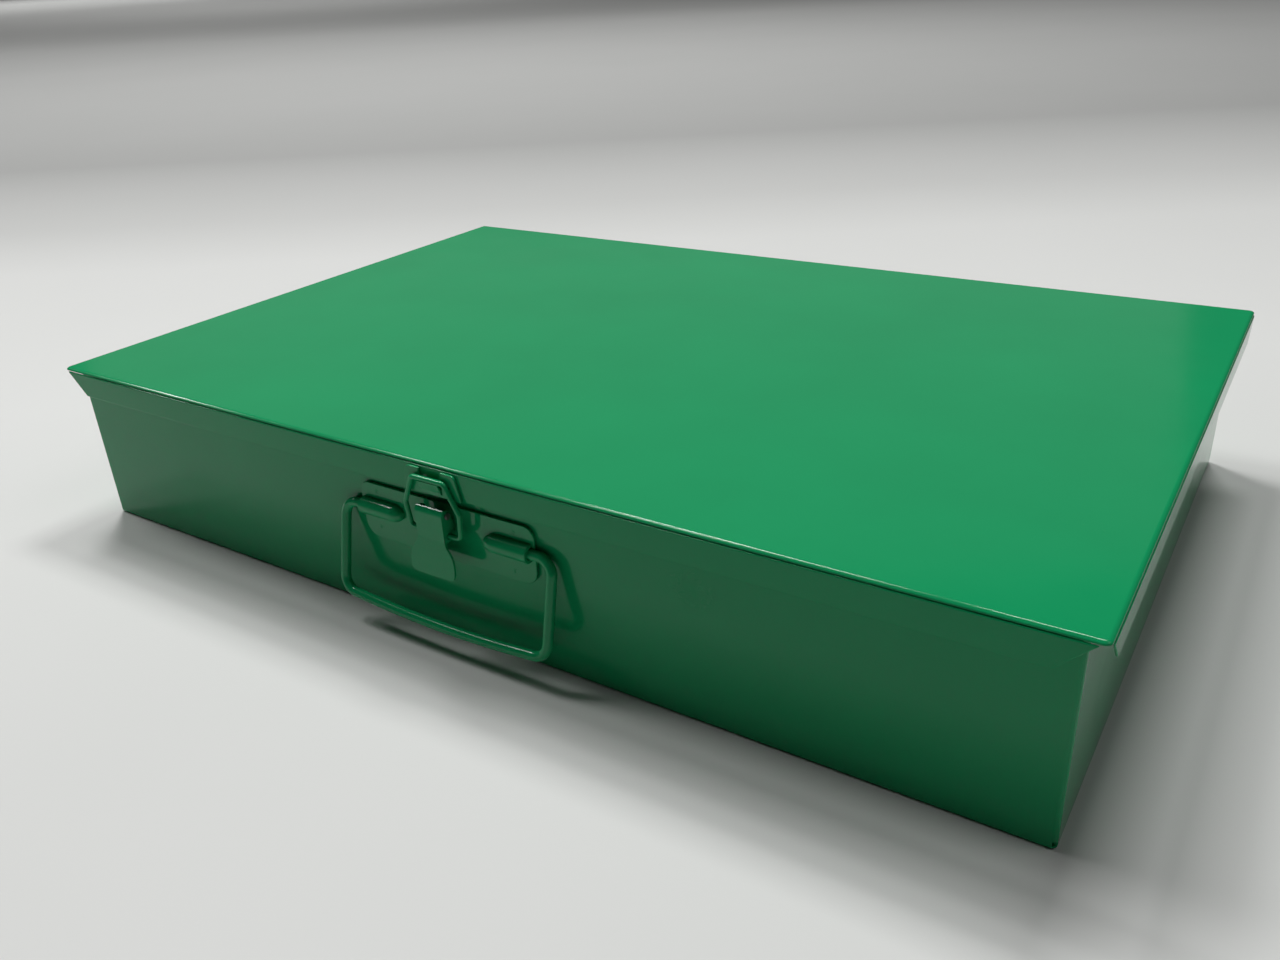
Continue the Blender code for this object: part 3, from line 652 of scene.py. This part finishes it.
def make_bail():
    """The carrying handle: round wire bent to a bowed bar, its ends turned into the barrels."""
    radius, corner = 2.0 * MM, 6.2 * MM
    half, drop, bow, tip = 50.4 * MM, 37.2 * MM, 1.8 * MM, 26.2 * MM
    lean = math.radians(13.0)
    down = Vector((0.0, -math.sin(lean), -math.cos(lean)))
    face = down.cross(X_AXIS)
    run = half - corner
    arc = 2 * math.degrees(math.atan(bow / run))
    bar_radius = run / math.sin(math.radians(arc)) + corner
    bend = 90.0 - arc
    side_run = drop - 2 * corner
    start_at = BAIL_AXIS + X_AXIS * -tip
    axis = tuple(face)
    moves = [("run", half - tip - corner), ("bend", 90.0, corner, 12, axis), ("run", side_run),
             ("bend", bend, corner, 12, axis), ("bend", 2 * arc, bar_radius, 24, axis),
             ("bend", bend, corner, 12, axis), ("run", side_run), ("bend", 90.0, corner, 12, axis),
             ("run", half - tip - corner)]
    bail = bend_wire("bail_wire", start_at, (-1, 0, 0), radius, moves, sides=24)
    soften(bail, 0.3 * MM, 2, 60.0)
    finish_piece(bail, "bail", "fittings_paint", fittings_enamel, "bail_handle")


# ---------------------------------------------------------------- draw catch

def make_lever():
    """The catch's lever: a curled top, a flat neck and a flared foot, with a cheek at each side."""
    inner, outer = 1.9 * MM, 2.8 * MM
    curl = 66.0
    begin = math.radians(180.0 - curl)
    at = CATCH_AXIS + Vector((0.0, math.cos(begin), math.sin(begin))) * outer
    heading = Vector((0.0, -math.sin(begin), math.cos(begin)))
    width = 13.0 * MM
    face = fold_strip("lever_face", at, width, heading, [("bend", curl, outer, 10)])
    edit(face)
    level = -9.0 * MM
    pick(face, "EDGE", lambda spot, way: abs(way.x) > 0.9 and abs(spot.z - CATCH_AXIS.z) < 1e-5)
    bpy.ops.mesh.extrude_region_move(TRANSFORM_OT_translate={"value": (0.0, 0.0, level)})
    half = 6.5 * MM
    kick = 1.6 * MM / 14.5 / MM
    # the foot's outline: millimetres from the pin, and half the width there
    rows = ((-10.2, 6.6), (-11.2, 6.95), (-12.2, 7.6), (-13.2, 8.4), (-14.2, 9.15),
            (-15.2, 9.7), (-16.4, 10.1), (-18.0, 10.45), (-19.6, 10.6), (-21.8, 10.6),
            (-22.6, 10.4), (-23.2, 10.05), (-23.7, 9.5), (-24.0, 8.9), (-24.2, 8.0))
    for below, wide in rows:
        step = below * MM - level
        bpy.ops.mesh.extrude_region_move(TRANSFORM_OT_translate={"value": (0.0, kick * step, step)})
        bpy.ops.transform.resize(value=(wide * MM / half, 1.0, 1.0))
        level, half = below * MM, wide * MM
    done()
    tidy_normals(face)
    apply_modifier(face, "SOLIDIFY", thickness=SHEET, offset=side_of(face, (0.0, -1.0, 0.0)),
                   use_even_offset=True)
    weld(face, *[make_cheek(side, inner) for side in (-1, 1)])
    face.name = "catch_lever_bent"
    soften(face, 0.28 * MM, 3, 45.0)
    finish_piece(face, "lever", "fittings_paint", fittings_enamel, "catch_lever")


def side_of(piece, way):
    """Solidify offset that puts the thickness behind a face that looks one way."""
    front = max(piece.data.polygons, key=lambda face: face.area)
    return -1.0 if front.normal.dot(Vector(way)) > 0 else 1.0


def make_cheek(side, inner):
    """A lever cheek with its two pin holes."""
    back = 2.3 * MM
    x = side * (6.5 * MM - SHEET / 2)
    top, toe = 1.9 * MM, -10.4 * MM
    cheek = block("cheek", (x - SHEET / 2, CATCH_AXIS.y - inner - 0.4 * MM, CATCH_AXIS.z + toe),
                  (x + SHEET / 2, CATCH_AXIS.y + back, CATCH_AXIS.z + top))
    edit(cheek)
    pick(cheek, "EDGE", lambda at, way: abs(way.x) > 0.9 and at.z > CATCH_AXIS.z)
    bpy.ops.mesh.bevel(offset=1.6 * MM, segments=6, profile=0.5, affect="EDGES")
    pick(cheek, "EDGE", lambda at, way: abs(way.x) > 0.9 and at.z < CATCH_AXIS.z - 9 * MM
         and at.y > CATCH_AXIS.y)
    bpy.ops.mesh.bevel(offset=2.2 * MM, segments=6, profile=0.5, affect="EDGES")
    done()
    holes = [start("pin_hole", bpy.ops.mesh.primitive_cylinder_add, vertices=24, radius=radius,
                   depth=3 * SHEET, location=(x, CATCH_AXIS.y + shift, CATCH_AXIS.z + below),
                   rotation=(0.0, math.pi / 2, 0.0))
             for radius, shift, below in ((1.1 * MM, 0.0, 0.0), (1.3 * MM, 0.2 * MM, -8.2 * MM))]
    cut(cheek, *holes)
    return cheek


def make_catch_pin():
    """The lever's pin: a drawn shank with a peened head at each end."""
    pin = bend_wire("catch_pin_rod", CATCH_AXIS - X_AXIS * 6.8 * MM, (1, 0, 0), 0.8 * MM,
                    [("run", 13.6 * MM)], sides=20)
    for side in (-1, 1):
        head = start("pin_head", bpy.ops.mesh.primitive_cylinder_add, vertices=24, radius=1.3 * MM,
                     depth=0.7 * MM, location=CATCH_AXIS + X_AXIS * side * 7.15 * MM,
                     rotation=(0.0, math.pi / 2, 0.0))
        settle(head)
        edit(head)
        pick(head, "FACE", lambda at, way: way.x * side > 0.9)
        bpy.ops.mesh.inset(thickness=0.35 * MM, depth=0.0)
        done()
        edit(head)
        pick(head, "EDGE", lambda at, way: at.x * side > 7.4 * MM and abs(way.x) < 0.1
             and (at - CATCH_AXIS - X_AXIS * at.x).length > 1.1 * MM)
        bpy.ops.mesh.bevel(offset=0.3 * MM, segments=3, profile=0.5, affect="EDGES")
        done()
        join(pin, head)
    soften(pin, 0.0)
    finish_piece(pin, "case", "plated_steel", pin_steel, "catch_pin")


def make_loop():
    """The catch's wire loop, pinched to its feet, which turn into the lever's cheeks."""
    radius, bend = 1.0 * MM, 2.2 * MM
    low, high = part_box("catch_loop")
    foot = Vector((0.0, LOOP_AXIS.y, LOOP_AXIS.z))
    bar = Vector((0.0, low.y + radius, high.z - radius))
    rise_way = (bar - foot).normalized()
    rise = (bar - foot).length
    corners = [(5.3, 0.0), (12.0, 0.0), (13.0, 10.0), (7.6, rise / MM), (-7.6, rise / MM),
               (-13.0, 10.0), (-12.0, 0.0), (-5.3, 0.0)]
    path = [foot + X_AXIS * x * MM + rise_way * up * MM for x, up in corners]
    loop = wire_through("loop_wire", path, radius, bend)
    soften(loop, 0.2 * MM, 2, 60.0)
    finish_piece(loop, "loop", "fittings_paint", fittings_enamel, "catch_loop")


def wire_through(name, corners, radius, bend):
    """Round wire run straight between corners, with the same bend at each."""
    moves = []
    spare = 0.0
    for before, corner, after in zip(corners, corners[1:], corners[2:]):
        way, onward = (corner - before).normalized(), (after - corner).normalized()
        turn = way.angle(onward)
        trim = bend * math.tan(turn / 2)
        moves.append(("run", (corner - before).length - trim - spare))
        moves.append(("bend", math.degrees(turn), bend, 8, tuple(way.cross(onward).normalized())))
        spare = trim
    moves.append(("run", (corners[-1] - corners[-2]).length - spare))
    return bend_wire(name, corners[0], corners[1] - corners[0], radius, moves, sides=20)


def make_keeper():
    """The keeper on the lid's lip: two shouldered ears and a hook pressed out between them."""
    low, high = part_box("lid_keeper")
    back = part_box("lid")[0].y - SEAT_GAP
    sheet = 1.0 * MM
    half = high.x
    plate = block("keeper_plate", (-half, back - sheet, low.z), (half, back, high.z))
    edit(plate)
    pick(plate, "EDGE", lambda at, way: abs(way.y) > 0.9 and at.z > high.z - 1e-5)
    bpy.ops.mesh.bevel(offset=2.4 * MM, segments=8, profile=0.5, affect="EDGES")
    pick(plate, "VERT", lambda at, way: at.z < low.z + 1e-5)
    bpy.ops.transform.resize(value=(1.16, 1.0, 1.0))
    done()
    slot_half, root = 5.2 * MM, low.z + 1.3 * MM
    window = block("hook_window", (-slot_half, back - 2 * sheet, root),
                   (slot_half, back + sheet, high.z + MM))
    cut(plate, window)
    apply_modifier(plate, "BEVEL", width=0.3 * MM, segments=3, limit_method="ANGLE",
                   angle_limit=math.radians(50.0))
    tip = 6.3 * MM
    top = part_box("lid")[1].z - tip
    lean = Vector((0.0, -1.8 * MM, top - low.z - 0.4 * MM))
    hook = block("hook", (-4.8 * MM, back - sheet, low.z + 0.2 * MM),
                 (4.8 * MM, back, low.z + 0.6 * MM))
    edit(hook)
    pick(hook, "FACE", lambda at, way: way.z > 0.5)
    bpy.ops.mesh.extrude_region_move(TRANSFORM_OT_translate={"value": lean * 0.35})
    bpy.ops.mesh.extrude_region_move(TRANSFORM_OT_translate={"value": lean * 0.65})
    done()
    apply_modifier(hook, "BEVEL", width=0.25 * MM, segments=3, limit_method="ANGLE",
                   angle_limit=math.radians(50.0))
    weld(plate, hook)
    soften(plate, 0.0)
    finish_piece(plate, "lid", "fittings_paint", fittings_enamel, "lid_keeper")


# ---------------------------------------------------------------- camera, floor and light

def make_camera():
    """Three-quarter view from the right of the front, looking down."""
    camera = bpy.data.objects.new("camera", bpy.data.cameras.new("camera"))
    bpy.context.scene.collection.objects.link(camera)
    right = Vector((0.83898, 0.54203, -0.04824))
    up = Vector((-0.20354, 0.39479, 0.89594))
    back = right.cross(up)
    turn = Matrix((right, up, back)).transposed().to_4x4()
    camera.matrix_world = Matrix.Translation((0.25633, -0.39460, 0.23558)) @ turn
    camera.data.lens = 30.30
    camera.data.sensor_width = 36.0
    camera.data.clip_start = 0.01
    bpy.context.scene.camera = camera
    return camera


def make_stage(camera):
    """A wide pale floor with painted shade: its colour darkens away behind the case in place of the
    lamps' falloff.
    """
    ahead = -camera.matrix_world.col[2].to_3d()
    ahead.z = 0.0
    ahead.normalize()
    across = Vector((ahead.y, -ahead.x, 0.0))
    foot = Vector((camera.location.x, camera.location.y, 0.0))
    size = 44.0
    floor = fold_strip("studio_floor", foot - ahead * size / 2, size, ahead, [("run", size)],
                       axis=across)
    material = bpy.data.materials.new("pale_floor")
    material.use_nodes = True
    nodes, links = material.node_tree.nodes, material.node_tree.links
    shader = nodes["Principled BSDF"]
    place = nodes.new("ShaderNodeTexCoord")
    mottle = texture(material, place, "ShaderNodeTexNoise", Scale=3.0, Detail=3.0)
    ramp = nodes.new("ShaderNodeValToRGB")
    ramp.color_ramp.elements[0].color = (0.605, 0.61, 0.595, 1.0)
    ramp.color_ramp.elements[1].color = (0.64, 0.642, 0.63, 1.0)
    links.new(mottle.outputs["Fac"], ramp.inputs["Fac"])
    reach = nodes.new("ShaderNodeVectorMath")
    reach.operation = "DOT_PRODUCT"
    reach.inputs[1].default_value = ahead
    links.new(place.outputs["Object"], reach.inputs[0])
    span = remap(material, reach.outputs["Value"], (0.15, 3.9), (0.0, 1.0))
    # painted shade: the floor colour is darkened with distance ahead, standing in for the lamps'
    # falloff
    painted_falloff = nodes.new("ShaderNodeValToRGB")
    for spot, value in ((0.09, 0.86), (0.14, 0.68), (0.25, 0.44)):  # darkest about 1.1 m off
        painted_falloff.color_ramp.elements.new(spot).color = (value, value, value, 1.0)
    painted_falloff.color_ramp.elements[0].color = (1.0, 1.0, 1.0, 1.0)
    painted_falloff.color_ramp.elements[-1].color = (0.8, 0.8, 0.8, 1.0)
    links.new(span, painted_falloff.inputs["Fac"])
    shaded_paper = nodes.new("ShaderNodeHueSaturation")
    links.new(ramp.outputs["Color"], shaded_paper.inputs["Color"])
    links.new(painted_falloff.outputs["Color"], shaded_paper.inputs["Value"])
    links.new(shaded_paper.outputs["Color"], shader.inputs["Base Color"])
    shader.inputs["Roughness"].default_value = 0.6
    floor.data.materials.append(material)


LIGHT_HEIGHT = 3.0


def make_light(name, x, y, width, depth, watts):
    """A soft box overhead that points straight down."""
    lamp = bpy.data.lights.new(name, "AREA")
    lamp.shape = "RECTANGLE"
    lamp.size = width
    lamp.size_y = depth
    lamp.energy = watts
    box = bpy.data.objects.new(name, lamp)
    bpy.context.scene.collection.objects.link(box)
    box.location = (x, y, LIGHT_HEIGHT)
    return box


def make_lights():
    """Overhead soft boxes, a low card behind, washes for the far floor and an even dim room."""
    make_light("left_front_box", -1.6, -0.1, 0.6, 0.6, 17.0)
    make_light("left_rear_box", -1.6, 1.1, 0.6, 0.6, 39.0)
    make_light("left_inner_box", -1.0, 0.7, 0.6, 0.6, 29.0)
    make_light("rear_box", -0.05, 1.5, 0.9, 0.6, 47.0)
    make_light("right_fill", 2.6, 0.5, 2.0, 2.0, 17.0)
    make_light("left_strip", -2.6, -0.25, 0.3, 0.9, 20.0)
    make_light("far_left_strip", -4.2, -0.3, 0.3, 1.0, 34.0)
    card = make_light("rear_card", -2.3, 3.4, 5.0, 1.8, 5.0)
    card.location.z = 1.8
    facing = Vector((0.0, 0.0, 0.6)) - card.location
    card.rotation_euler = facing.to_track_quat("-Z", "Y").to_euler()
    make_light("far_floor_wash", -6.3, 5.4, 3.0, 3.0, 54.0).visible_glossy = False
    make_light("horizon_wash", -13.5, 7.5, 8.0, 8.0, 330.0).visible_glossy = False
    world = bpy.data.worlds.new("pale_room")
    bpy.context.scene.world = world
    world.use_nodes = True
    room = world.node_tree.nodes["Background"]
    room.inputs["Color"].default_value = (0.95, 1.0, 0.97, 1.0)
    room.inputs["Strength"].default_value = 0.03


bpy.context.scene.view_settings.view_transform = "Standard"
camera = make_camera()
make_stage(camera)
make_lights()

make_lid()
make_shell()
make_trays()
make_hinge()
make_plate()
make_bail()
make_lever()
make_catch_pin()
make_loop()
make_keeper()
